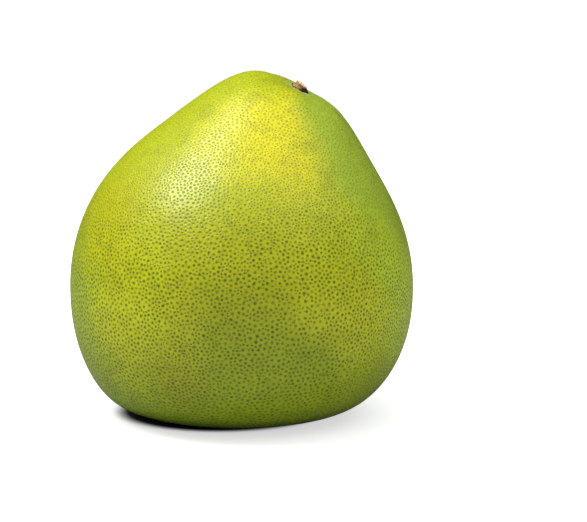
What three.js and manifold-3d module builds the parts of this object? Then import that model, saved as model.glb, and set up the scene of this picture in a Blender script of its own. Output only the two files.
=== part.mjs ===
// A whole pomelo, as picked: a pear-shaped citrus fruit that stands on a small flat spot, with its dried
// calyx and the cut end of its stalk at the top. The neck leans towards +X, and the stalk leaves it off
// centre. +Z is up, and the origin is on the floor under the middle of the fruit. Units are millimetres.

import * as THREE from "three";
import { mergeVertices } from "three/addons/utils/BufferGeometryUtils.js";
import Module from "manifold-3d";

// The fruit is drawn as a distance from its heart, one for each direction.
const HEART_HEIGHT = 58.8; // the level of the heart, and of the widest girth, above the floor
const GIRTH_RADIUS = 78;
const UPPER_SEMI_AXIS = 79.8; // of the body above the girth, without its neck
const LOWER_SEMI_AXIS = 69.1; // of the body below the girth, before its foot is flattened
const UPPER_FULLNESS = 2; // 2 is an ellipse, and a higher number is a squarer outline
const LOWER_FULLNESS = 2.28;

// Smooth rises and hollows in the rind. Leans, turns and spreads are in degrees.
const NECK = { lean: 11.5, turn: 0, rise: 20.3, spread: 17 };
const DIMPLE = { lean: 16.2, turn: -9, rise: -7, spread: 7.2 };
const SHOULDER = { lean: 59, turn: 180, rise: 0.7, spread: 25 };
const HEEL = { lean: 143, turn: 180, rise: 4, spread: 18.5 };
const BACK = { lean: 78, turn: 75, rise: 1.4, spread: 25 };
const FEATURES = [NECK, DIMPLE, SHOULDER, HEEL, BACK];
const SWELL_RISE = 0.5; // how far the growth of the rind strays from a smooth form

// Shallow furrows run out from the stalk and fade down the neck.
const FURROW_COUNT = 5;
const FURROW_DEPTH = 0.8;
const FURROW_SHARE = 0.375; // the mean of the grooves' outline, so that ridges rise between them
const FURROW_BEGIN = 9; // degrees from the stalk
const FURROW_END = 34;

// The foot, where the fruit's weight has settled it.
const FOOT_FIRMNESS = 14; // the higher, the tighter the turn from the foot into the flank
const FOOT_LIFT = 1; // how far the flat spot is cut above the lowest point of the rounded foot

// The stalk's end. Heights are above the rind at the middle of the dimple.
const GAP = 0.3; // clearance between neighbouring pieces
const STALK_RADIUS = 2.6;
const STALK_ROOT = 1.8;
const STALK_TOP = 2.7;
const STALK_CHAMFER = 0.35;
const CALYX_RADIUS = 4.3;
const CALYX_LOBE = 0.6; // how far each lobe's tip stands out from the mean outline
const CALYX_LOBES = 5;
const CALYX_SEAT = 0.65;
const CALYX_RIM_TOP = 1.35;
const CALYX_COLLAR_TOP = 2.1;

const FRUIT_SEGMENTS = 60;
const FRUIT_RINGS = 52;
const RING_CROWDING = 1.3; // above 1, rings lie closer together around the stalk
const STALK_SEGMENTS = 40;
const NORMAL_PROBE = 2; // degrees, the step over which the rind's slope is measured

const RIND_COLOUR = 0xa9b01c;
const CALYX_COLOUR = 0x5b3d20;
const STALK_COLOUR = 0xcdb488;

const UP = new THREE.Vector3(0, 0, 1);
const wasm = await Module();
wasm.setup();

/** The direction that leans from straight up by `lean` degrees, towards +X turned by `turn` degrees. */
function leaning({ lean, turn }) {
  const polar = THREE.MathUtils.degToRad(lean);
  const around = THREE.MathUtils.degToRad(turn);
  return new THREE.Vector3(
    Math.sin(polar) * Math.cos(around),
    Math.sin(polar) * Math.sin(around),
    Math.cos(polar),
  );
}

/** A smooth rise around a direction, `rise` high in the middle and `spread` degrees wide. */
function bump(direction, feature) {
  const away = THREE.MathUtils.radToDeg(direction.angleTo(leaning(feature)));
  return feature.rise * Math.exp(-((away / feature.spread) ** 2) / 2);
}

const STALK_DIRECTION = leaning(DIMPLE);
const AROUND_X = new THREE.Vector3(0, 1, 0).cross(STALK_DIRECTION).normalize();
const AROUND_Y = new THREE.Vector3().crossVectors(STALK_DIRECTION, AROUND_X);

/** The furrows' depth in a direction. They are not evenly spaced, and they wander a little. */
function furrow(direction) {
  const away = THREE.MathUtils.radToDeg(direction.angleTo(STALK_DIRECTION));
  const around = Math.atan2(direction.dot(AROUND_Y), direction.dot(AROUND_X));
  const phase = FURROW_COUNT * around + 0.7 * Math.sin(2 * around + 0.5) + away / 40;
  const groove = ((1 + Math.cos(phase)) / 2) ** 2 - FURROW_SHARE;
  const begin = 1 - Math.exp(-((away / FURROW_BEGIN) ** 2));
  const end = Math.exp(-((away / FURROW_END) ** 2));
  return FURROW_DEPTH * groove * begin * end;
}

/** The slow swelling and hollowing of a grown rind. */
function swell({ x, y, z }) {
  const waves = Math.sin(3.1 * x + 1.7 * z + 0.6) * Math.cos(2.7 * y - 0.9);
  return SWELL_RISE * (waves + 0.6 * Math.sin(4.3 * y + 2.2 * x + 2.1));
}

/** The distance from the heart to the rind in a unit direction. */
function rindDistance(direction) {
  const across = Math.hypot(direction.x, direction.y) / GIRTH_RADIUS;
  const above = direction.z > 0;
  const along = Math.abs(direction.z) / (above ? UPPER_SEMI_AXIS : LOWER_SEMI_AXIS);
  const fullness = above ? UPPER_FULLNESS : LOWER_FULLNESS;
  const body = (across ** fullness + along ** fullness) ** (-1 / fullness);
  const raised = FEATURES.reduce((sum, feature) => sum + bump(direction, feature), body);
  const grown = raised + swell(direction) - furrow(direction);
  if (direction.z >= 0) return grown;
  const floor = (HEART_HEIGHT + FOOT_LIFT) / -direction.z;
  const rounded = (grown ** -FOOT_FIRMNESS + floor ** -FOOT_FIRMNESS) ** (-1 / FOOT_FIRMNESS);
  return Math.min(rounded, HEART_HEIGHT / -direction.z);
}

/** The point of the rind in a direction, from the heart. */
function rindPoint(direction) {
  const unit = direction.clone().normalize();
  return unit.multiplyScalar(rindDistance(unit));
}

/** The rind's outward normal in a direction, from points a small step away. */
function rindNormal(direction) {
  const step = Math.tan(THREE.MathUtils.degToRad(NORMAL_PROBE));
  const beside = (axis, sign) => rindPoint(direction.clone().addScaledVector(axis, sign * step));
  const alongX = beside(AROUND_X, 1).sub(beside(AROUND_X, -1));
  const alongY = beside(AROUND_Y, 1).sub(beside(AROUND_Y, -1));
  return alongX.cross(alongY).normalize();
}

/** A geometry with nothing but its points, each held once, so that neighbouring faces share them. */
function shared(geometry) {
  geometry.deleteAttribute("normal");
  geometry.deleteAttribute("uv");
  return mergeVertices(geometry, 1e-5);
}

/** A closed geometry as a manifold-3d solid. */
function solidOf(geometry) {
  const vertProperties = new Float32Array(geometry.getAttribute("position").array);
  const triVerts = new Uint32Array(geometry.index.array);
  return new wasm.Manifold(new wasm.Mesh({ numProp: 3, vertProperties, triVerts }));
}

/** A manifold-3d solid as a geometry that three.js can draw. */
function geometryOf(solid) {
  const mesh = solid.getMesh();
  const geometry = new THREE.BufferGeometry();
  geometry.setAttribute("position", new THREE.BufferAttribute(mesh.vertProperties, 3));
  geometry.setIndex(new THREE.BufferAttribute(mesh.triVerts, 1));
  geometry.computeVertexNormals();
  return geometry;
}

/** A closed body of revolution about +Z, from [radius, height] pairs that run up its outside. */
function turned(profile, segments) {
  const points = profile.map(([radius, height]) => new THREE.Vector2(radius, height));
  return shared(new THREE.LatheGeometry(points, segments).rotateX(Math.PI / 2));
}

/** The fruit's skin about its heart: a sphere whose pole is at the stalk, drawn out to the rind. */
function fruitGeometry() {
  const sphere = new THREE.SphereGeometry(1, FRUIT_SEGMENTS, FRUIT_RINGS).rotateX(Math.PI / 2);
  const geometry = shared(sphere);
  const position = geometry.getAttribute("position");
  const toStalk = new THREE.Quaternion().setFromUnitVectors(UP, STALK_DIRECTION);
  const direction = new THREE.Vector3();
  for (let i = 0; i < position.count; i++) {
    direction.fromBufferAttribute(position, i);
    const polar = Math.PI * (direction.angleTo(UP) / Math.PI) ** RING_CROWDING;
    const around = Math.atan2(direction.y, direction.x);
    direction.setFromSphericalCoords(1, polar, 0);
    direction.set(direction.z * Math.cos(around), direction.z * Math.sin(around), direction.y);
    const point = rindPoint(direction.applyQuaternion(toStalk));
    position.setXYZ(i, point.x, point.y, point.z);
  }
  return geometry;
}

/** The cut end of the stalk, which the calyx holds. */
function stalkGeometry() {
  const profile = [
    [0, -STALK_ROOT],
    [STALK_RADIUS, -STALK_ROOT],
    [STALK_RADIUS, STALK_TOP - STALK_CHAMFER],
    [STALK_RADIUS - STALK_CHAMFER, STALK_TOP],
    [0, STALK_TOP],
  ];
  return turned(profile, STALK_SEGMENTS);
}

/** The dried calyx: a collar around the stalk whose rim spreads into five blunt lobes. */
function calyxGeometry() {
  const hole = STALK_RADIUS + GAP;
  const shoulder = (hole + CALYX_RADIUS) / 2;
  const profile = [
    [hole, CALYX_SEAT],
    [CALYX_RADIUS, CALYX_SEAT],
    [CALYX_RADIUS, CALYX_RIM_TOP],
    [shoulder, CALYX_COLLAR_TOP],
    [hole, CALYX_COLLAR_TOP],
    [hole, CALYX_SEAT],
  ];
  const geometry = turned(profile, STALK_SEGMENTS);
  const position = geometry.getAttribute("position");
  for (let i = 0; i < position.count; i++) {
    const radius = Math.hypot(position.getX(i), position.getY(i));
    const around = Math.atan2(position.getY(i), position.getX(i));
    const outward = Math.max(0, (radius - shoulder) / (CALYX_RADIUS - shoulder));
    const scale = 1 + (outward * CALYX_LOBE * Math.cos(CALYX_LOBES * around)) / radius;
    position.setXYZ(i, position.getX(i) * scale, position.getY(i) * scale, position.getZ(i));
  }
  return geometry;
}

/** The hole in the rind that the stalk grows out of, with clearance around the stalk. */
function socketGeometry() {
  const radius = STALK_RADIUS + GAP;
  const floor = -STALK_ROOT - GAP;
  const profile = [
    [0, floor],
    [radius, floor],
    [radius, STALK_TOP],
    [0, STALK_TOP],
  ];
  return turned(profile, STALK_SEGMENTS);
}

/** A named piece with its own plain finish. */
function piece(name, geometry, color, roughness) {
  const material = new THREE.MeshStandardMaterial({ color, roughness, metalness: 0 });
  const mesh = new THREE.Mesh(geometry, material);
  mesh.name = name;
  return mesh;
}

// The stalk's end is made upright about its own axis, then set square to the rind in the dimple.
const stalkEnd = new THREE.Group();
stalkEnd.position.copy(rindPoint(STALK_DIRECTION));
stalkEnd.quaternion.setFromUnitVectors(UP, rindNormal(STALK_DIRECTION));
stalkEnd.updateMatrix();
stalkEnd.add(piece("calyx", calyxGeometry(), CALYX_COLOUR, 0.8));
stalkEnd.add(piece("stalk_stub", stalkGeometry(), STALK_COLOUR, 0.85));

const socket = solidOf(socketGeometry().applyMatrix4(stalkEnd.matrix));
const fruit = geometryOf(solidOf(fruitGeometry()).subtract(socket));

// The whole is moved so that the middle of its foot's level is the origin.
const pomelo = new THREE.Group();
pomelo.add(piece("pomelo_fruit", fruit, RIND_COLOUR, 0.45));
pomelo.add(stalkEnd);
fruit.computeBoundingBox();
const middle = fruit.boundingBox.getCenter(new THREE.Vector3());
pomelo.position.set(-middle.x, -middle.y, -fruit.boundingBox.min.z);

export default pomelo;
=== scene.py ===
"""A whole pomelo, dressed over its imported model.

The rind is rebuilt as one fine mesh with an oil gland at each point of a lattice, and the calyx and the
stalk's end are remade with their grown detail. Everything is in metres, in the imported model's own frame.
"""

import logging
import math
import random
from collections.abc import Callable
from dataclasses import dataclass
from enum import Enum

import bmesh
import bpy
from mathutils import Matrix, Vector, noise
from mathutils.bvhtree import BVHTree


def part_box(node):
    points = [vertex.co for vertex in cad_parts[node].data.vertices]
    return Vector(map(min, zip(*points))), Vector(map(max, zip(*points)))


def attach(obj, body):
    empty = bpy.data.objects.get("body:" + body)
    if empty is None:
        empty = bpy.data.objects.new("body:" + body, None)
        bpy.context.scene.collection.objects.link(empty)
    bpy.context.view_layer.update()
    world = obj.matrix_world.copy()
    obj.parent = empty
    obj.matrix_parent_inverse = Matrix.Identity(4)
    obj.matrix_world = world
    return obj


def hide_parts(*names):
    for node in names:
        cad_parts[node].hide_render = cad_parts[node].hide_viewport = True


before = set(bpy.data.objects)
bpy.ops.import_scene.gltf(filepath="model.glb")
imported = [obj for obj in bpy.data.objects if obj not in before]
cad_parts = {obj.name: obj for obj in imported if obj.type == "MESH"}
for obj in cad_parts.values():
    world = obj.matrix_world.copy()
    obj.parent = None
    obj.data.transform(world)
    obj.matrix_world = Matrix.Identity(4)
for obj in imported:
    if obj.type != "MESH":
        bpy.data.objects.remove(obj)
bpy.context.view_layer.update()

MM = 0.001
LOG = logging.getLogger("pomelo")

Colour = tuple[float, float, float, float]
Socket = bpy.types.NodeSocket


class Body(Enum):
    """The bodies that the pieces ride on."""

    FRUIT = "root"


class CadNode(Enum):
    """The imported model's nodes."""

    FRUIT = "pomelo_fruit"
    CALYX = "calyx"
    STALK = "stalk_stub"


class Slot(Enum):
    """The record's material slots."""

    RIND = "rind"
    CALYX = "dried_calyx"
    STALK = "stalk_wood"


def colour(code: str) -> Colour:
    """A colour in the form that shaders take.

    Args:
        code: red, green and blue as on a screen, such as "#c8b42a".

    Returns:
        The colour as linear red, green, blue and alpha.
    """
    parts = [int(code[i : i + 2], 16) / 255 for i in (1, 3, 5)]
    linear = [part / 12.92 if part <= 0.04045 else ((part + 0.055) / 1.055) ** 2.4 for part in parts]
    return (*linear, 1.0)


class Shader:
    """A material's node tree, with short ways to make the nodes that the finishes use."""

    def __init__(self, name: str) -> None:
        """Starts a material with a Principled shader and nothing else.

        Args:
            name: the material's name.
        """
        self.material = bpy.data.materials.new(name)
        self.material.use_nodes = True
        self.tree = self.material.node_tree
        self.skin = self.tree.nodes["Principled BSDF"]
        self.place = self.node("ShaderNodeTexCoord").outputs["Object"]

    def node(self, kind: str, **settings: object) -> bpy.types.Node:
        """Adds a node.

        Args:
            kind: the node's type.
            settings: the node's own properties.

        Returns:
            The node.
        """
        made = self.tree.nodes.new(kind)
        for key, value in settings.items():
            setattr(made, key, value)
        return made

    def feed(self, pin: Socket, value: object) -> None:
        """Links a socket's source, or sets its value if the source is a plain number, vector or colour.

        Args:
            pin: the socket.
            value: its source.
        """
        if isinstance(value, bpy.types.NodeSocket):
            self.tree.links.new(value, pin)
        else:
            pin.default_value = value

    def math(self, operation: str, first: object, second: object = 0.0, third: object = 0.0) -> Socket:
        """Works out one sum.

        Args:
            operation: the Math node's operation.
            first: its first number or socket.
            second: its second.
            third: its third.

        Returns:
            The result.
        """
        made = self.node("ShaderNodeMath", operation=operation)
        for pin, value in zip(made.inputs, (first, second, third)):
            self.feed(pin, value)
        return made.outputs["Value"]

    def vector(self, operation: str, first: object, second: object = (0.0, 0.0, 0.0)) -> bpy.types.Node:
        """Works out one sum of vectors.

        Args:
            operation: the Vector Math node's operation.
            first: its first vector or socket.
            second: its second.

        Returns:
            The node, with the result as a vector or as a value.
        """
        made = self.node("ShaderNodeVectorMath", operation=operation)
        for pin, value in zip(made.inputs, (first, second)):
            self.feed(pin, value)
        return made

    def split(self, whole: Socket) -> bpy.types.Node:
        """Takes a vector apart.

        Args:
            whole: the vector.

        Returns:
            The node, with the parts as X, Y and Z.
        """
        made = self.node("ShaderNodeSeparateXYZ")
        self.feed(made.inputs["Vector"], whole)
        return made

    def height(self) -> Socket:
        """The height over the surface that the fruit rests on, in metres."""
        return self.split(self.place).outputs["Z"]

    def ease(self, value: object, start: object, end: object, low: float = 0.0, high: float = 1.0) -> Socket:
        """Turns a value smoothly from low to high as it goes from start to end.

        Args:
            value: what is read.
            start: where the turn begins.
            end: where it is complete.
            low: the result up to start.
            high: the result from end on.

        Returns:
            The result.
        """
        made = self.node("ShaderNodeMapRange", interpolation_type="SMOOTHSTEP")
        for pin, source in zip(made.inputs, (value, start, end, low, high)):
            self.feed(pin, source)
        return made.outputs["Result"]

    def cloud(self, size: float, detail: float = 3.0, rough: float = 0.5, at: Socket | None = None) -> Socket:
        """Makes a soft random pattern.

        Args:
            size: the size of its patches, in metres.
            detail: how many finer layers it has.
            rough: how strong the finer layers are.
            at: where it is read, or None for the object's own place.

        Returns:
            A number from 0 to 1, mostly near the middle.
        """
        made = self.node("ShaderNodeTexNoise")
        self.feed(made.inputs["Vector"], at or self.place)
        self.feed(made.inputs["Scale"], 1 / size)
        self.feed(made.inputs["Detail"], detail)
        self.feed(made.inputs["Roughness"], rough)
        return made.outputs["Fac"]

    def blend(self, share: object, under: object, over: object, mode: str = "MIX") -> Socket:
        """Lays one colour over another.

        Args:
            share: how much of the upper colour shows, from 0 to 1.
            under: the lower colour.
            over: the upper colour.
            mode: how the two are mixed.

        Returns:
            The mixed colour.
        """
        made = self.node("ShaderNodeMix", data_type="RGBA", blend_type=mode)
        self.feed(made.inputs["Factor"], share)
        self.feed(made.inputs["A"], under)
        self.feed(made.inputs["B"], over)
        return made.outputs["Result"]

    def away_from(self, point: Vector) -> Socket:
        """The distance from a fixed point, in metres."""
        return self.vector("DISTANCE", self.place, tuple(point)).outputs["Value"]

    def relief(self, height: Socket, depth: float, under: Socket | None = None) -> Socket:
        """Turns a height into a bumped normal.

        Args:
            height: the pattern, from 0 to 1.
            depth: how far 1 stands above 0, in metres.
            under: a normal that is already bumped, or None.

        Returns:
            The normal.
        """
        made = self.node("ShaderNodeBump")
        self.feed(made.inputs["Strength"], 1.0)
        self.feed(made.inputs["Distance"], depth)
        self.feed(made.inputs["Height"], height)
        if under is not None:
            self.feed(made.inputs["Normal"], under)
        return made.outputs["Normal"]


@dataclass(frozen=True)
class StalkSeat:
    """Where the stalk's end stands on the fruit.

    Attributes:
        base: the rind's level in the middle of the stalk's end.
        axis: the direction in which the stalk leaves the fruit.
    """

    base: Vector
    axis: Vector

    @classmethod
    def of_model(cls, above: float = 2.7 * MM) -> "StalkSeat":
        """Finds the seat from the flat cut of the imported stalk.

        Args:
            above: how high the cut stands over the rind.

        Returns:
            The seat.
        """
        stalk = bmesh.new()
        stalk.from_mesh(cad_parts[CadNode.STALK.value].data)
        faces = list(stalk.faces)
        level = [[face for face in faces if face.normal.dot(like.normal) > 0.9999] for like in faces]
        cut = max(level, key=lambda group: sum(face.calc_area() * group[0].normal.z for face in group))
        area = sum(face.calc_area() for face in cut)
        middle = sum((face.calc_center_median() * face.calc_area() for face in cut), Vector()) / area
        axis = cut[0].normal.normalized()
        stalk.free()
        return cls(middle - axis * above, axis)

    def placing(self) -> Matrix:
        """The transform from a piece made upright on the origin to its place on the rind."""
        turn = self.axis.to_track_quat("Z", "Y").to_matrix().to_4x4()
        return Matrix.Translation(self.base) @ turn


@dataclass(frozen=True)
class Blush:
    """A patch of rind with a colour of its own: mostly ripening, and in two places partly painted shade.

    Attributes:
        tone: its colour.
        place: its middle, in millimetres.
        reach: its radius, in millimetres.
        edge: the width of its soft edge, in millimetres.
        share: how much of its colour shows.
    """

    tone: Colour
    place: tuple[float, float, float]
    reach: float
    edge: float
    share: float

    def over(self, shader: Shader, ground: Socket, drift: Socket) -> Socket:
        """Lays the patch over a colour.

        Args:
            shader: the rind's node tree.
            ground: the colour under it.
            drift: a slow random pattern, from -0.5 to 0.5, that keeps its edge uneven.

        Returns:
            The colour with the patch on it.
        """
        away = shader.away_from(Vector(self.place) * MM)
        distance = shader.math("MULTIPLY_ADD", drift, self.edge * 1.4 * MM, away)
        start = (self.reach - self.edge / 2) * MM
        spread = shader.ease(distance, start, start + self.edge * MM, self.share, 0.0)
        return shader.blend(spread, ground, self.tone)


@dataclass(frozen=True)
class Mottle:
    """One of the sizes that the rind's mottling comes in.

    Attributes:
        size: the size of its patches.
        detail: how many finer layers it has.
        rough: how strong the finer layers are.
        start: the pattern's value where the mottling begins.
        end: the value where it is complete.
        share: how much of its colour shows.
    """

    size: float
    detail: float
    rough: float
    start: float
    end: float
    share: float

    def over(self, shader: Shader, ground: Socket, tone: Colour) -> Socket:
        """Lays the mottling over a colour.

        Args:
            shader: the rind's node tree.
            ground: the colour under it.
            tone: the mottling's own colour.

        Returns:
            The colour with the mottling on it.
        """
        patches = shader.ease(shader.cloud(self.size, self.detail, self.rough), self.start, self.end)
        return shader.blend(shader.math("MULTIPLY", patches, self.share), ground, tone)


@dataclass(frozen=True)
class RindFinish:
    """Waxy citrus rind: yellow where it ripened in the sun, and greener towards its foot.

    Attributes:
        base: the darker green of the underside, partly the rind's own colour and partly painted shade where
            it meets the floor.
        foot: the green above it.
        belly: the olive green of the lower half.
        upper: the yellow-green of the upper half.
        blushes: the patches with a colour of their own; most ripened more or less than the rind around them,
            and two are partly painted shade.
        flank: the middle of the green flank, where the glands are fainter, in millimetres.
        mottles: the sizes of the mottling.
        mottle: the brownish green of the mottling.
        gland: the dark green of the oil glands.
        russet: the brown of small scars.
        pale: the pale ring around the calyx.
        ring: the distances from the stalk between which the pale ring fades.
        ring_share: how much of its colour shows.
        gland_shade: how much of a spot's colour shows around it.
        gland_radius: the mean radius of a gland's dark spot, as a share of its cell's radius.
        gland_low: how dark the spots are on the lower half.
        gland_high: how dark they are on the neck.
        low_to: the height up to which the spots are at their darkest.
        high_from: the height from which they are at their faintest.
        pit_depth: how deep a gland's dimple is.
        grain_depth: how deep the grain between the glands is.
        swell_depth: how high the slow unevenness of the rind is.
        small_spacing: the spacing of the small glands between the others.
        flower: the distances from the middle of the underside between which the flower's mark fades.
        roughness: how rough the wax is where it is smoothest.
        specular: how strongly the wax mirrors.
    """

    base: Colour = colour("#5f7a08")
    foot: Colour = colour("#879f0a")
    belly: Colour = colour("#c4c908")
    upper: Colour = colour("#bac406")
    blushes: tuple[Blush, ...] = (
        Blush(colour("#ebe004"), (13, -42, 133), 24, 34, 0.9),
        Blush(colour("#c0bb04"), (-56, -46, 98), 26, 34, 0.6),
        Blush(colour("#b0ad0a"), (-4, -76, 72), 28, 34, 0.5),
        Blush(colour("#bcd632"), (82, -8, 78), 54, 34, 0.85),
        Blush(colour("#a4be30"), (72, -10, 128), 50, 20, 0.95),
        # Greener on the low left flank: partly ripening, partly painted shade along the fruit's edge.
        Blush(colour("#9db222"), (-84, -16, 46), 42, 32, 0.65),
        # Darker green low on the front right: partly the rind's own green, partly a painted shadow as cast by
        # something standing at the front right.
        Blush(colour("#8a9c08"), (8, -74, 38), 28, 34, 0.65),
        Blush(colour("#a3870c"), (-28, -68, 28), 12, 22, 0.28),
        Blush(colour("#94b014"), (-34, 46, 124), 44, 26, 0.8),
        Blush(colour("#9cb61a"), (-92, 32, 76), 38, 26, 0.6),
        Blush(colour("#84880c"), (34, 72, 62), 32, 34, 0.55),
        Blush(colour("#c2bf08"), (-50, 58, 72), 26, 34, 0.5),
    )
    flank: tuple[float, float, float] = (76, -10, 122)
    mottles: tuple[Mottle, ...] = (
        Mottle(13 * MM, 5, 0.6, 0.5, 0.72, 0.24),
        Mottle(3.2 * MM, 4, 0.65, 0.42, 0.7, 0.2),
        Mottle(0.9 * MM, 3, 0.7, 0.35, 0.65, 0.22),
    )
    mottle: Colour = colour("#74800c")
    gland: Colour = colour("#465c00")
    russet: Colour = colour("#6e5a24")
    pale: Colour = colour("#b4c77c")
    ring: tuple[float, float] = (4.6 * MM, 9 * MM)
    ring_share: float = 0.6
    gland_shade: float = 0.62
    gland_radius: float = 0.68
    gland_low: float = 0.86
    gland_high: float = 0.4
    low_to: float = 70 * MM
    high_from: float = 125 * MM
    pit_depth: float = 0.17 * MM
    grain_depth: float = 0.03 * MM
    swell_depth: float = 0.18 * MM
    small_spacing: float = 1.5 * MM
    flower: tuple[float, float] = (2.6 * MM, 4.4 * MM)
    roughness: float = 0.27
    specular: float = 0.49

    def material(self, seat: StalkSeat) -> bpy.types.Material:
        """Makes the rind's material.

        Args:
            seat: where the stalk stands, for the pale ring around it.

        Returns:
            The material.
        """
        shader = Shader("rind")
        distance = self.gland_distance(shader)
        spot, strength = self.glands(shader, distance)
        tone = self.ring_around(seat, shader, self.ground(shader))
        shade = shader.ease(distance, 0.1, 1.3, self.gland_shade, 0.0)
        for share in (shade, spot):
            tone = shader.blend(shader.math("MULTIPLY", share, strength), tone, self.gland)
        for marks in (self.scars(shader), self.flower_scar(shader)):
            tone = shader.blend(marks, tone, self.russet)
        shader.feed(shader.skin.inputs["Base Color"], tone)
        self.wax(shader, spot)
        self.surface(shader, distance)
        return shader.material

    def ring_around(self, seat: StalkSeat, shader: Shader, ground: Socket) -> Socket:
        """Lays the pale ring around the calyx over a colour.

        Args:
            seat: where the stalk stands.
            shader: the rind's node tree.
            ground: the colour under it.

        Returns:
            The colour with the ring on it.
        """
        ring = shader.ease(shader.away_from(seat.base), *self.ring, 1.0, 0.0)
        return shader.blend(shader.math("MULTIPLY", ring, self.ring_share), ground, self.pale)

    def wax(self, shader: Shader, spot: Socket) -> None:
        """Gives the rind its waxy sheen, which is a little duller on the glands.

        Args:
            shader: the rind's node tree.
            spot: the glands' spots, as a mask.
        """
        rough = shader.math("MULTIPLY_ADD", shader.cloud(9 * MM, 4), 0.1, self.roughness)
        shader.feed(shader.skin.inputs["Roughness"], shader.math("MULTIPLY_ADD", spot, 0.1, rough))
        mirror = shader.math("MULTIPLY_ADD", spot, -0.08, self.specular)
        shader.feed(shader.skin.inputs["Specular IOR Level"], mirror)
        shader.skin.inputs["Subsurface Weight"].default_value = 0.05
        shader.skin.inputs["Subsurface Radius"].default_value = (1.0, 0.8, 0.1)
        shader.skin.inputs["Subsurface Scale"].default_value = 1.0 * MM

    def surface(self, shader: Shader, distance: Socket) -> None:
        """Gives the rind its dimples, its grain and its slow unevenness.

        Args:
            shader: the rind's node tree.
            distance: the distance from the nearest gland.
        """
        normal = shader.relief(shader.ease(distance, 0.0, 1.0), self.pit_depth)
        normal = shader.relief(shader.cloud(0.5 * MM, 2), self.grain_depth, normal)
        normal = shader.relief(shader.cloud(7 * MM, 3), self.swell_depth, normal)
        shader.feed(shader.skin.inputs["Normal"], normal)

    def gland_distance(self, shader: Shader) -> Socket:
        """The distance from the middle of the nearest gland, where 1 is the edge of its cell."""
        offset = shader.node("ShaderNodeUVMap", uv_map=Rind.OFFSET_MAP).outputs["UV"]
        return shader.vector("LENGTH", offset).outputs["Value"]

    def glands(self, shader: Shader, distance: Socket) -> tuple[Socket, Socket]:
        """Draws the glands' dark spots.

        Args:
            shader: the rind's node tree.
            distance: the distance from the nearest gland.

        Returns:
            The spots, as a mask, and how dark they are in each place, from 0 to 1.
        """
        traits = shader.split(shader.node("ShaderNodeUVMap", uv_map=Rind.TRAIT_MAP).outputs["UV"])
        darkness, size = traits.outputs["X"], traits.outputs["Y"]
        ragged = shader.math("MULTIPLY_ADD", shader.cloud(0.8 * MM, 1), 1.0, -0.5)
        ragged_distance = shader.math("ADD", distance, ragged)
        radius = shader.math("MULTIPLY_ADD", size, 0.2, self.gland_radius - 0.1)
        inner = shader.math("SUBTRACT", radius, 0.5)
        outer = shader.math("ADD", radius, 0.35)
        spot = shader.ease(ragged_distance, inner, outer, 1.0, 0.0)
        between = shader.math("MULTIPLY", self.small_glands(shader), 0.75)
        spot = shader.math("MAXIMUM", spot, between)
        height = shader.height()
        lower = shader.ease(height, self.low_to, self.high_from, self.gland_low, self.gland_high)
        patchy = shader.math("MULTIPLY_ADD", shader.cloud(14 * MM, 2), 0.6, 0.7)
        strength = shader.math("MULTIPLY", shader.math("MULTIPLY", lower, patchy), darkness)
        faint = shader.ease(shader.away_from(Vector(self.flank) * MM), 46 * MM, 62 * MM, 0.6, 1.0)
        return spot, shader.math("MULTIPLY", strength, faint)

    def small_glands(self, shader: Shader) -> Socket:
        """Draws the small uneven glands that fill the places between the others.

        Args:
            shader: the rind's node tree.

        Returns:
            The glands, as a mask.
        """
        cells = shader.node("ShaderNodeTexVoronoi", feature="F1")
        shader.feed(cells.inputs["Vector"], shader.place)
        shader.feed(cells.inputs["Scale"], 1 / self.small_spacing)
        return shader.ease(cells.outputs["Distance"], 0.12, 0.42, 1.0, 0.0)

    def ground(self, shader: Shader) -> Socket:
        """Paints the rind under its glands: its ripening from foot to neck, and its mottling.

        Args:
            shader: the rind's node tree.

        Returns:
            The colour.
        """
        height = shader.height()
        drift = shader.math("SUBTRACT", shader.cloud(30 * MM, 3), 0.5)
        level = shader.math("MULTIPLY_ADD", drift, 40 * MM, height)
        # Darker green in the lowest centimetre: partly the rind's own colour, partly painted shade where the
        # fruit meets the floor.
        tone = shader.blend(shader.ease(height, 2 * MM, 11 * MM), self.base, self.foot)
        tone = shader.blend(shader.ease(level, 2 * MM, 64 * MM), tone, self.belly)
        tone = shader.blend(shader.ease(level, 52 * MM, 118 * MM), tone, self.upper)
        for blush in self.blushes:
            tone = blush.over(shader, tone, drift)
        for mottle in self.mottles:
            tone = mottle.over(shader, tone, self.mottle)
        return tone

    def flower_scar(self, shader: Shader) -> Socket:
        """Draws the corky mark where the flower was, in the middle of the underside."""
        away = shader.math("MULTIPLY_ADD", shader.cloud(1.5 * MM, 4, 0.7), 2 * MM, shader.away_from(Vector()))
        return shader.ease(away, *self.flower, 0.9, 0.0)

    def scars(self, shader: Shader) -> Socket:
        """Scatters a few small corky marks.

        Args:
            shader: the rind's node tree.

        Returns:
            The marks, as a mask.
        """
        where = shader.ease(shader.cloud(30 * MM, 2), 0.56, 0.66)
        marks = shader.ease(shader.cloud(1.6 * MM, 4, 0.7), 0.66, 0.74)
        return shader.math("MULTIPLY", shader.math("MULTIPLY", where, marks), 0.6)


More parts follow.
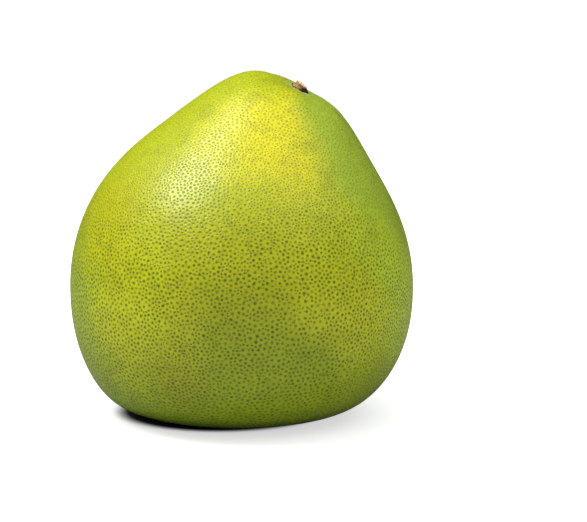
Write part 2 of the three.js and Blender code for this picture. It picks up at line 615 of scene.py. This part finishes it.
@dataclass(frozen=True)
class CalyxFinish:
    """A dried calyx: dark brown, with a tan patch on the upper left of its collar that is partly wear and
    partly painted light.

    Attributes:
        dark: the calyx's own dark brown, which also serves as painted shade under its rim.
        lit_and_worn: the tan, partly wear and partly a painted highlight.
        crest: how far the tan place lies from the stalk's axis, towards the left lamp, in millimetres.
        crest_height: how high it is over the rind.
    """

    dark: Colour = colour("#2c1a0a")
    lit_and_worn: Colour = colour("#a98152")
    crest: tuple[float, float, float] = (-1.6, -1.2, 0)
    crest_height: float = 1.9 * MM

    def material(self, seat: StalkSeat) -> bpy.types.Material:
        """Makes the calyx's material.

        Args:
            seat: where the stalk stands.

        Returns:
            The material.
        """
        shader = Shader("dried_calyx")
        fibre = shader.cloud(0.7 * MM, 5, 0.7)
        # The tan patch is painted light as well as wear: it sits on the collar's top towards the left lamp,
        # and the dark brown around and below it is partly painted shade.
        crest = seat.base + seat.axis * self.crest_height + Vector(self.crest) * MM
        from_lit_and_worn = shader.math("MULTIPLY_ADD", fibre, 1.6 * MM, shader.away_from(crest))
        lit_and_worn = shader.ease(from_lit_and_worn, 2.6 * MM, 4.2 * MM, 1.0, 0.0)
        shader.feed(shader.skin.inputs["Base Color"], shader.blend(lit_and_worn, self.dark, self.lit_and_worn))
        shader.feed(shader.skin.inputs["Roughness"], shader.math("MULTIPLY_ADD", fibre, 0.25, 0.6))
        shader.feed(shader.skin.inputs["Normal"], shader.relief(fibre, 0.25 * MM))
        return shader.material


@dataclass(frozen=True)
class StalkFinish:
    """A cut stalk: pale wood with a brown bark and a darker pith.

    Attributes:
        wood: the pale wood.
        stain: the darker streaks in it.
        bark: the bark and the pith.
    """

    wood: Colour = colour("#f0dcb4")
    stain: Colour = colour("#c9a672")
    bark: Colour = colour("#a07c4c")

    def material(self, seat: StalkSeat, radius: float) -> bpy.types.Material:
        """Makes the stalk's material.

        Args:
            seat: where the stalk stands.
            radius: the stalk's radius.

        Returns:
            The material.
        """
        shader = Shader("stalk_wood")
        from_base = shader.vector("SUBTRACT", shader.place, tuple(seat.base)).outputs["Vector"]
        across = shader.vector("CROSS_PRODUCT", from_base, tuple(seat.axis)).outputs["Vector"]
        outward = shader.math("DIVIDE", shader.vector("LENGTH", across).outputs["Value"], radius)
        grain = shader.cloud(0.45 * MM, 5, 0.7)
        wood = shader.blend(shader.ease(grain, 0.4, 0.68), self.wood, self.stain)
        pith = shader.ease(outward, 0.12, 0.3, 1.0, 0.0)
        wood = shader.blend(shader.math("MULTIPLY", pith, 0.7), wood, self.bark)
        rim = shader.ease(shader.math("MULTIPLY_ADD", grain, 0.2, outward), 0.92, 1.04)
        shader.feed(shader.skin.inputs["Base Color"], shader.blend(rim, wood, self.bark))
        shader.skin.inputs["Roughness"].default_value = 0.82
        shader.feed(shader.skin.inputs["Normal"], shader.relief(grain, 0.2 * MM))
        return shader.material


def finish_piece(shape: bmesh.types.BMesh, name: str, node: CadNode) -> bpy.types.Object:
    """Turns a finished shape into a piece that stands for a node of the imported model.

    Args:
        shape: the shape, which is freed.
        name: the piece's name.
        node: the node that it replaces.

    Returns:
        The piece.
    """
    bmesh.ops.recalc_face_normals(shape, faces=shape.faces)
    mesh = bpy.data.meshes.new(name)
    shape.to_mesh(mesh)
    shape.free()
    mesh.shade_smooth()
    piece = bpy.data.objects.new(name, mesh)
    bpy.context.scene.collection.objects.link(piece)
    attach(piece, Body.FRUIT.value)
    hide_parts(node.value)
    return piece


@dataclass
class Rind:
    """The fruit's whole outside, with an oil gland at each point of a lattice.

    Attributes:
        seat: where the stalk stands.
        finish: what the rind is made to look like.
        gland_rows: how many steps from gland to gland one side of the lattice's twenty triangles has.
        stray: how far a gland lies from an even lattice, as a share of the glands' spacing.
        settling: how often the glands are spread out again.
        cell_limit: the most that a gland's cell can reach from its middle.
        pit: how deep a gland's dimple is in the mesh.
        socket: how far from the stalk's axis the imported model's socket reaches.
        navel_radius: the radius of the hollow where the flower was.
        navel_depth: how deep that hollow is.
        seed: the start of the random draws.
    """

    OFFSET_MAP = "gland_offset"
    TRAIT_MAP = "gland_traits"

    seat: StalkSeat
    finish: RindFinish
    gland_rows: int = 49
    stray: float = 0.6
    settling: int = 5
    cell_limit: float = 0.86 * MM
    pit: float = 0.1 * MM
    socket: float = 5.7 * MM
    navel_radius: float = 9.0 * MM
    navel_depth: float = 1.2 * MM
    seed: int = 11

    def __post_init__(self) -> None:
        """Takes the fruit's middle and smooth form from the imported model, and starts the random draws."""
        low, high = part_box(CadNode.FRUIT.value)
        self.middle = (low + high) / 2
        self.floor = low.z
        self.draw = random.Random(self.seed)
        self.form = self.rounded_form()

    def rounded_form(self) -> BVHTree:
        """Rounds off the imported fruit's facets and closes the stalk's socket.

        Returns:
            The smooth form, to cast rays at.
        """
        shape = bmesh.new()
        shape.from_mesh(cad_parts[CadNode.FRUIT.value].data)
        bmesh.ops.remove_doubles(shape, verts=shape.verts, dist=1e-6)
        sunk = [vertex for vertex in shape.verts if self.in_socket(vertex.co)]
        bmesh.ops.delete(shape, geom=sunk, context="VERTS")
        bmesh.ops.holes_fill(shape, edges=[edge for edge in shape.edges if edge.is_boundary], sides=0)
        mesh = bpy.data.meshes.new("rounded_form")
        shape.to_mesh(mesh)
        shape.free()
        rounded = bpy.data.objects.new("rounded_form", mesh)
        bpy.context.scene.collection.objects.link(rounded)
        rounding = rounded.modifiers.new("rounding", "SUBSURF")
        rounding.levels = rounding.render_levels = 2
        tree = BVHTree.FromObject(rounded, bpy.context.evaluated_depsgraph_get())
        bpy.data.objects.remove(rounded)
        bpy.data.meshes.remove(mesh)
        return tree

    def in_socket(self, point: Vector) -> bool:
        """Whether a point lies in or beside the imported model's socket for the stalk and calyx.

        Args:
            point: the point.

        Returns:
            True where it does.
        """
        offset = point - self.seat.base
        height = offset.dot(self.seat.axis)
        return abs(height) < 10 * MM and (offset - self.seat.axis * height).length < self.socket

    def settled(self, point: Vector) -> Vector:
        """Finds the place on the smooth form in the direction of a point, from the fruit's middle.

        Args:
            point: the point.

        Returns:
            The place, or the point itself where the form has none.
        """
        direction = (point - self.middle).normalized()
        hit = self.form.ray_cast(self.middle, direction)[0]
        return hit if hit is not None else point

    def lattice(self) -> bmesh.types.BMesh:
        """Spreads the glands over the fruit.

        Returns:
            A mesh with one vertex for each gland.
        """
        glands = bmesh.new()
        glands.loops.layers.uv.new(self.OFFSET_MAP)
        glands.loops.layers.uv.new(self.TRAIT_MAP)
        bmesh.ops.create_icosphere(glands, subdivisions=1, radius=1.0, matrix=Matrix.Translation(self.middle))
        bmesh.ops.subdivide_edges(glands, edges=glands.edges, cuts=self.gland_rows - 1, use_grid_fill=True)
        self.settle(glands)
        spacing = sum(edge.calc_length() for edge in glands.edges) / len(glands.edges)
        for vertex in glands.verts:
            stray = Vector([self.draw.uniform(-1, 1) for _ in range(3)])
            vertex.co += stray * spacing * self.stray
        for _ in range(self.settling):
            self.settle(glands)
            bmesh.ops.beautify_fill(glands, faces=glands.faces, edges=glands.edges, method="ANGLE")
            bmesh.ops.smooth_vert(
                glands, verts=glands.verts, factor=0.5, use_axis_x=True, use_axis_y=True, use_axis_z=True
            )
        self.settle(glands)
        return glands

    def settle(self, shape: bmesh.types.BMesh) -> None:
        """Moves every vertex onto the smooth form."""
        for vertex in shape.verts:
            vertex.co = self.settled(vertex.co)

    def build(self) -> bpy.types.Object:
        """Builds and dresses the rind.

        Returns:
            The piece.
        """
        shape = self.lattice()
        gland_count = len(shape.verts)
        bmesh.ops.subdivide_edges(shape, edges=shape.edges, cuts=1, use_grid_fill=True)
        self.settle(shape)
        shape.normal_update()
        glands = list(shape.verts)[:gland_count]
        self.map_glands(shape, glands)
        for gland in glands:
            gland.co -= gland.normal * self.pit * self.draw.uniform(0.6, 1.2)
        for vertex in shape.verts:
            out = min(1.0, math.hypot(vertex.co.x, vertex.co.y) / self.navel_radius)
            navel = self.navel_depth * (1 - out**2) ** 2
            vertex.co.z = max(vertex.co.z, self.floor + navel)
        piece = finish_piece(shape, "rind", CadNode.FRUIT)
        piece.data.materials.append(self.finish.material(self.seat))
        return piece

    def map_glands(self, shape: bmesh.types.BMesh, glands: list[bmesh.types.BMVert]) -> None:
        """Writes each face's place beside its gland, and the gland's own traits, as two maps.

        Args:
            shape: the rind.
            glands: its vertices that are glands.
        """
        offsets = shape.loops.layers.uv[self.OFFSET_MAP]
        traits = shape.loops.layers.uv[self.TRAIT_MAP]
        for face in shape.faces:
            for corner in face.loops:
                corner[offsets].uv = (2.0, 2.0)
                corner[traits].uv = (0.5, 0.5)
        for gland in glands:
            across = gland.normal.orthogonal().normalized()
            along = gland.normal.cross(across)
            cell = self.cell_radius(gland)
            trait = (self.draw.uniform(0.5, 1.0), self.draw.random())
            for face in gland.link_faces:
                for corner in face.loops:
                    offset = (corner.vert.co - gland.co) / cell
                    corner[offsets].uv = (offset.dot(across), offset.dot(along))
                    corner[traits].uv = trait

    def cell_radius(self, gland: bmesh.types.BMVert) -> float:
        """Finds the largest circle around a gland that stays on the faces that meet there.

        Args:
            gland: the gland's vertex.

        Returns:
            The circle's radius.
        """
        reaches = []
        for face in gland.link_faces:
            far = [edge for edge in face.edges if gland not in edge.verts][0]
            reaches.append(2 * face.calc_area() / far.calc_length())
        return min(self.cell_limit, *reaches)


@dataclass
class Calyx:
    """The dried calyx: a collar around the stalk whose rim spreads into five crumpled lobes.

    Attributes:
        seat: where the stalk stands.
        rind: the rind that the collar lies on.
        finish: what the calyx is made to look like.
        hole: the radius of the collar's hole.
        radius: the collar's own radius.
        lobes: how many lobes it has.
        lobe: how far they reach out.
        steps: how many sections the collar is made of.
        crumple: how far it rises and falls at its rim.
    """

    seat: StalkSeat
    rind: Rind
    finish: CalyxFinish
    hole: float = 2.8 * MM
    radius: float = 4.0 * MM
    lobes: int = 5
    lobe: float = 0.5 * MM
    steps: int = 90
    crumple: float = 0.35 * MM

    def profile(self) -> list[tuple[float, float]]:
        """Draws the collar's section.

        Returns:
            The points, as distances from the stalk's axis and heights over the rind.
        """
        rim = self.radius
        return [
            (self.hole, 0.1 * MM),
            (self.hole, 1.25 * MM),
            (self.hole + 0.2 * MM, 1.5 * MM),
            (self.hole + 0.45 * MM, 1.35 * MM),
            ((self.hole + rim) / 2 + 0.1 * MM, 0.95 * MM),
            (rim - 0.35 * MM, 0.7 * MM),
            (rim, 0.45 * MM),
            (rim + 0.1 * MM, 0.2 * MM),
            (rim - 0.25 * MM, 0.02 * MM),
            ((self.hole + rim) / 2, -0.1 * MM),
        ]

    def build(self) -> bpy.types.Object:
        """Builds and dresses the calyx.

        Returns:
            The piece.
        """
        shape = bmesh.new()
        points = [shape.verts.new((out, 0, up)) for out, up in self.profile()]
        section = [shape.edges.new(pair) for pair in zip(points, points[1:] + points[:1])]
        bmesh.ops.spin(
            shape,
            geom=points + section,
            cent=(0, 0, 0),
            axis=(0, 0, 1),
            angle=2 * math.pi,
            steps=self.steps,
            use_merge=True,
        )
        bmesh.ops.remove_doubles(shape, verts=shape.verts, dist=1e-7)
        for vertex in shape.verts:
            vertex.co = self.grown(vertex.co)
        piece = finish_piece(shape, "calyx_collar", CadNode.CALYX)
        finer = piece.modifiers.new("finer", "SUBSURF")
        finer.levels = finer.render_levels = 1
        piece.data.materials.append(self.finish.material(self.seat))
        return piece

    def grown(self, point: Vector) -> Vector:
        """Spreads the lobes, crumples the collar and lays it on the rind.

        Args:
            point: a point of the even collar, upright on the origin.

        Returns:
            Its place on the fruit.
        """
        out = math.hypot(point.x, point.y)
        around = math.atan2(point.y, point.x)
        outward = max(0.0, (out - self.hole) / (self.radius - self.hole))
        wander = noise.noise(Vector((math.cos(around), math.sin(around), 4.0)) * 1.7)
        spread = self.lobe * (math.cos(self.lobes * around + wander) + 0.5 * wander) * outward**2
        ruffle = noise.noise(Vector((math.cos(around) * 5, math.sin(around) * 5, out / MM))) * self.crumple
        up = point.z + ruffle * outward * (point.z > 0.3 * MM)
        flat = Vector((math.cos(around), math.sin(around), 0)) * (out + spread)
        placing = self.seat.placing()
        above = placing @ (flat + Vector((0, 0, 20 * MM)))
        hit = self.rind.form.ray_cast(above, -self.seat.axis)[0]
        return hit + self.seat.axis * up


@dataclass
class StalkEnd:
    """The short woody end of the cut stalk, held by the calyx.

    Attributes:
        seat: where the stalk stands.
        finish: what the stalk is made to look like.
        radius: the stalk's radius.
        top: how high its cut is over the rind.
        root: how far it reaches under the rind's level.
        segments: how many sides it is made of.
        roughness: how far the bark's ribs and the cut's grain stand out.
        slant: the cut's slope.
        rings: the width of each ring of the cut, from the bark inwards, and its rise, in millimetres.
    """

    seat: StalkSeat
    finish: StalkFinish
    radius: float = 2.75 * MM
    top: float = 2.8 * MM
    root: float = 1.6 * MM
    segments: int = 56
    roughness: float = 0.18 * MM
    slant: float = 0.16
    rings: tuple[tuple[float, float], ...] = (
        (0.25, 0.0),
        (0.45, -0.06),
        (0.6, 0.05),
        (0.5, -0.02),
        (0.3, -0.25),
    )

    def build(self) -> bpy.types.Object:
        """Builds and dresses the stalk's end.

        Returns:
            The piece.
        """
        shape = bmesh.new()
        depth = self.top + self.root
        bmesh.ops.create_cone(
            shape,
            cap_ends=True,
            segments=self.segments,
            radius1=self.radius,
            radius2=self.radius * 0.97,
            depth=depth,
            matrix=Matrix.Translation((0, 0, self.top - depth / 2)),
        )
        cut = max(shape.faces, key=lambda face: face.calc_center_median().z)
        bmesh.ops.bevel(
            shape,
            geom=list(cut.edges),
            offset=0.2 * MM,
            offset_type="OFFSET",
            segments=2,
            profile=0.5,
            affect="EDGES",
            material=-1,
        )
        for inset, rise in self.rings:
            cut = max(shape.faces, key=lambda face: len(face.verts) * (face.normal.z > 0.9))
            bmesh.ops.inset_region(shape, faces=[cut], thickness=inset * MM, depth=rise * MM)
        sides = [edge for edge in shape.edges if abs(edge.verts[0].co.z - edge.verts[1].co.z) > self.top / 2]
        bmesh.ops.subdivide_edges(shape, edges=sides, cuts=8)
        placing = self.seat.placing()
        for vertex in shape.verts:
            vertex.co = placing @ self.weathered(vertex.co)
        piece = finish_piece(shape, "cut_stalk", CadNode.STALK)
        piece.data.materials.append(self.finish.material(self.seat, self.radius))
        return piece

    def weathered(self, point: Vector) -> Vector:
        """Gives the bark its ribs and the cut its torn grain.

        Args:
            point: a point of the even stalk, upright on the origin.

        Returns:
            The point, moved a little.
        """
        around = math.atan2(point.y, point.x)
        out = math.hypot(point.x, point.y) / self.radius
        rib = noise.noise(Vector((math.cos(around) * 3, math.sin(around) * 3, point.z / (6 * MM))))
        grain = noise.noise(point / (0.5 * MM))
        side = 1 + (rib * self.roughness * 2 / self.radius) * out
        lift = (grain * self.roughness + point.y * self.slant) * (point.z > self.top * 0.8)
        return Vector((point.x * side, point.y * side, point.z + lift))


@dataclass(frozen=True)
class Softbox:
    """A large soft lamp that faces the fruit.

    Attributes:
        name: the lamp's name.
        toward: the direction from the fruit to the lamp.
        distance: how far away it is.
        side: the length of its side.
        power: its power, in watts.
    """

    name: str
    toward: tuple[float, float, float]
    distance: float
    side: float
    power: float

    def build(self, target: Vector) -> None:
        """Sets the lamp up.

        Args:
            target: the point that it faces.
        """
        lamp = bpy.data.lights.new(self.name, "AREA")
        lamp.shape = "SQUARE"
        lamp.size = self.side
        lamp.energy = self.power
        holder = bpy.data.objects.new(self.name, lamp)
        direction = Vector(self.toward).normalized()
        holder.location = target + direction * self.distance
        holder.rotation_mode = "QUATERNION"
        holder.rotation_quaternion = direction.to_track_quat("Z", "Y")
        bpy.context.scene.collection.objects.link(holder)


@dataclass
class Studio:
    """A white floor in white surroundings, soft lamps and the camera.

    Attributes:
        elevation: how far the camera looks down, in degrees.
        lens: the camera's focal length, in millimetres.
        distance: how far the camera is from the fruit.
        aim_height: the height that the camera looks at.
        shift: how far the frame is moved across and up, as shares of its width.
        floor_side: the length of the floor's side.
        foot: the middle of the painted shadow where the fruit touches the floor, in millimetres.
        painted_shadow_narrowing: how many times longer that painted shadow is across the camera's view than
            along it.
        painted_shadow_reach: how far from its middle the painted shadow is at its darkest.
        painted_shadow_fade: how far from its middle the painted shadow has faded out.
        seen: the floor's colour to the camera.
        lighting: its colour where it lights the fruit.
        mirrored: its colour in the fruit's wax.
        painted_contact_shadow: its colour in the painted shadow around the fruit's foot.
        glow: how much the floor shines to the camera near the fruit.
        far_glow: how much more it shines far from the fruit.
        far: the distances from the fruit between which that grows.
        surround: how brightly the surroundings light the fruit from above.
        horizon: how brightly they light it from the horizon.
        full_from: how steeply up a direction must point to be lit in full, from 0 to 1.
        reflected: how bright the surroundings are in reflections.
        backdrop: how bright they are to look at.
        lamps: the softboxes.
    """

    elevation: float = 7.0
    lens: float = 100.0
    distance: float = 0.7413
    aim_height: float = 80 * MM
    shift: tuple[float, float] = (0.0888, -0.0395)
    floor_side: float = 6.0
    foot: tuple[float, float, float] = (-10, 0, 0)
    painted_shadow_narrowing: float = 1.12
    painted_shadow_reach: float = 41.5 * MM
    painted_shadow_fade: float = 50 * MM
    seen: Colour = (0.72, 0.735, 0.75, 1)
    lighting: Colour = (0.68, 0.68, 0.68, 1)
    mirrored: Colour = (0.22, 0.22, 0.22, 1)
    painted_contact_shadow: Colour = (0.05, 0.05, 0.05, 1)
    glow: float = 0.6
    far_glow: float = 0.5
    far: tuple[float, float] = (0.05, 0.4)
    surround: float = 0.85
    horizon: float = 0.4
    full_from: float = 0.8
    reflected: float = 0.05
    backdrop: float = 1.02
    lamps: tuple[Softbox, ...] = (
        Softbox("left_softbox", (-0.46, -0.16, 0.86), 0.85, 0.4, 6.1),
        Softbox("right_softbox", (0.51, -0.25, 0.81), 0.9, 0.8, 1.4),
    )

    def build(self, target: Vector) -> None:
        """Sets up the floor, the surroundings, the lamps and the camera.

        Args:
            target: the middle of the fruit.
        """
        self.floor()
        self.surroundings()
        for lamp in self.lamps:
            lamp.build(target)
        self.camera()
        bpy.context.scene.view_settings.view_transform = "Standard"

    def floor(self) -> None:
        """Lays the plain white floor."""
        shape = bmesh.new()
        below = Matrix.Translation((0, 0, -0.1 * MM))
        bmesh.ops.create_grid(shape, x_segments=1, y_segments=1, size=self.floor_side / 2, matrix=below)
        mesh = bpy.data.meshes.new("floor")
        shape.to_mesh(mesh)
        shape.free()
        mesh.materials.append(self.floor_finish())
        floor = bpy.data.objects.new("floor", mesh)
        bpy.context.scene.collection.objects.link(floor)

    def floor_finish(self) -> bpy.types.Material:
        """Makes the floor white to the camera, dimmer to the fruit, and painted with a dark shadow where they
        touch.

        Returns:
            The material.
        """
        shader = Shader("floor")
        ray = shader.node("ShaderNodeLightPath")
        to_camera = ray.outputs["Is Camera Ray"]
        white = shader.blend(to_camera, self.lighting, self.seen)
        white = shader.blend(ray.outputs["Is Glossy Ray"], white, self.mirrored)
        # Painted shadow: the floor's colour turns dark, and its glow goes out, in an oval around the fruit's
        # foot.
        middle = Vector(self.foot) * MM
        narrowed = shader.vector("MULTIPLY", shader.place, (1.0, self.painted_shadow_narrowing, 1.0)).outputs["Vector"]
        from_painted_shadow = shader.vector("DISTANCE", narrowed, tuple(middle)).outputs["Value"]
        outside_painted_shadow = shader.ease(from_painted_shadow, self.painted_shadow_reach, self.painted_shadow_fade)
        shader.feed(shader.skin.inputs["Base Color"], shader.blend(outside_painted_shadow, self.painted_contact_shadow, white))
        shader.skin.inputs["Roughness"].default_value = 0.8
        shader.skin.inputs["Specular IOR Level"].default_value = 0.1
        shader.skin.inputs["Emission Color"].default_value = (1, 1, 1, 1)
        far = shader.ease(shader.away_from(middle), *self.far, 0.0, self.far_glow)
        glow = shader.math("MULTIPLY_ADD", outside_painted_shadow, self.glow, far)
        shader.feed(shader.skin.inputs["Emission Strength"], shader.math("MULTIPLY", glow, to_camera))
        return shader.material

    def surroundings(self) -> None:
        """Makes the surroundings white to look at, and dimmer in what they light, most at the horizon."""
        world = bpy.data.worlds.new("surroundings")
        bpy.context.scene.world = world
        world.use_nodes = True
        tree = world.node_tree
        ray = tree.nodes.new("ShaderNodeLightPath")
        background = tree.nodes["Background"]
        background.inputs["Color"].default_value = (1, 1, 1, 1)
        direction = tree.nodes.new("ShaderNodeSeparateXYZ")
        tree.links.new(tree.nodes.new("ShaderNodeTexCoord").outputs["Generated"], direction.inputs[0])
        height = tree.nodes.new("ShaderNodeMapRange")
        tree.links.new(direction.outputs["Z"], height.inputs["Value"])
        height.inputs["From Max"].default_value = self.full_from
        height.inputs["To Min"].default_value = self.horizon
        height.inputs["To Max"].default_value = self.surround
        strength = height.outputs["Result"]
        for kind, brightness in (("Is Glossy Ray", self.reflected), ("Is Camera Ray", self.backdrop)):
            choice = tree.nodes.new("ShaderNodeMix")
            tree.links.new(ray.outputs[kind], choice.inputs["Factor"])
            choice.inputs["B"].default_value = brightness
            tree.links.new(strength, choice.inputs["A"])
            strength = choice.outputs["Result"]
        tree.links.new(strength, background.inputs["Strength"])

    def camera(self) -> None:
        """Places the camera in front of the fruit, looking a little down."""
        lens = bpy.data.cameras.new("camera")
        lens.lens = self.lens
        lens.sensor_width = 36.0
        lens.shift_x, lens.shift_y = self.shift
        lens.clip_start = 0.01
        holder = bpy.data.objects.new("camera", lens)
        tilt = math.radians(self.elevation)
        back = Vector((0, -math.cos(tilt), math.sin(tilt)))
        holder.location = Vector((0, 0, self.aim_height)) + back * self.distance
        holder.rotation_mode = "QUATERNION"
        holder.rotation_quaternion = back.to_track_quat("Z", "Y")
        bpy.context.scene.collection.objects.link(holder)
        bpy.context.scene.camera = holder


def main() -> None:
    """Builds each piece of the pomelo in turn, and then the studio around it."""
    logging.basicConfig(level=logging.INFO, format="%(name)s: %(message)s")
    seat = StalkSeat.of_model()
    rind = Rind(seat, RindFinish())
    makers: list[Callable[[], bpy.types.Object]] = [
        rind.build,
        Calyx(seat, rind, CalyxFinish()).build,
        StalkEnd(seat, StalkFinish()).build,
    ]
    for make in makers:
        piece = make()
        LOG.info("%s has %d faces", piece.name, len(piece.data.polygons))
    Studio().build(rind.middle)
    LOG.info("the studio is set up")


if __name__ == "__main__":
    main()
